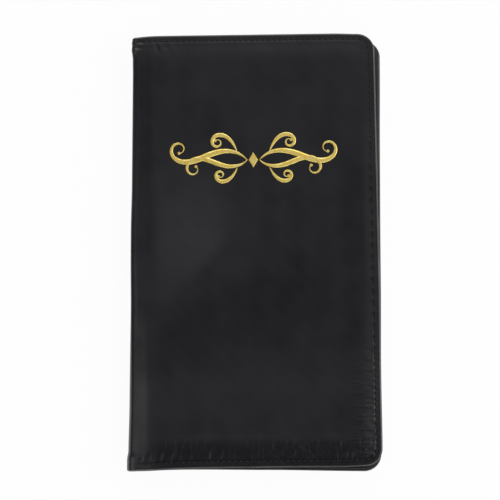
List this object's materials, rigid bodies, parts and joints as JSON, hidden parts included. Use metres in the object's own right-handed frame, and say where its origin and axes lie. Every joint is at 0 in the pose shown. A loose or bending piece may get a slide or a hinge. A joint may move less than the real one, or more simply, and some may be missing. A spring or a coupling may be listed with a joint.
{
  "type": "server book",
  "caption": "Slim folding server book in black faux leather, padded covers with stitched edges, inner pockets, card slots, clear window and elastic pen loop.",
  "frame": {"origin": "middle of the back cover's outer face, which lies on the table", "axes": "+X from the spine to the free edge, +Y from tail to head, +Z out of the front cover when closed"},
  "size_m": [0.1313, 0.231, 0.0105],
  "materials": {
    "cover_leather": "smooth black faux leather with a soft gloss and fine grain",
    "pocket_leather": "thin black faux leather, matt",
    "lining_cloth": "black woven lining",
    "grey_board": "grey bookbinder's board",
    "padding_foam": "thin soft foam",
    "black_thread": "bonded black polyester thread",
    "elastic": "ribbed black elastic webbing",
    "clear_film": "clear soft film",
    "gold_foil": "hot-stamped gold foil"
  },
  "bodies": {
    "back": {"back_cover_skin": "cover_leather", "back_padding": "padding_foam", "back_board": "grey_board", "back_lining": "lining_cloth", "back_hinge_strip": "pocket_leather", "back_stitching": "black_thread", "tall_pocket": "pocket_leather", "order_pad_pocket": "pocket_leather", "pen_loop": "elastic"},
    "spine": {"spine_skin": "cover_leather", "spine_hinge_strip": "pocket_leather"},
    "front": {"front_cover_skin": "cover_leather", "front_padding": "padding_foam", "front_board": "grey_board", "front_lining": "lining_cloth", "front_hinge_strip": "pocket_leather", "front_stitching": "black_thread", "receipt_pocket": "pocket_leather", "card_slot_1": "pocket_leather", "card_slot_2": "pocket_leather", "card_slot_3": "pocket_leather", "window_pocket": "clear_film", "window_binding": "pocket_leather", "foil_ornament": "gold_foil"}
  },
  "joints": [
    {"name": "spine_fold", "type": "hinge", "parent": "back", "child": "spine", "pos_m": [-0.0646, 0, 0.0019], "axis": [0, -1, 0], "range_deg": [0, 90]},
    {"name": "cover_fold", "type": "hinge", "parent": "spine", "child": "front", "pos_m": [-0.0646, 0, 0.0085], "axis": [0, -1, 0], "range_deg": [0, 90]}
  ]
}
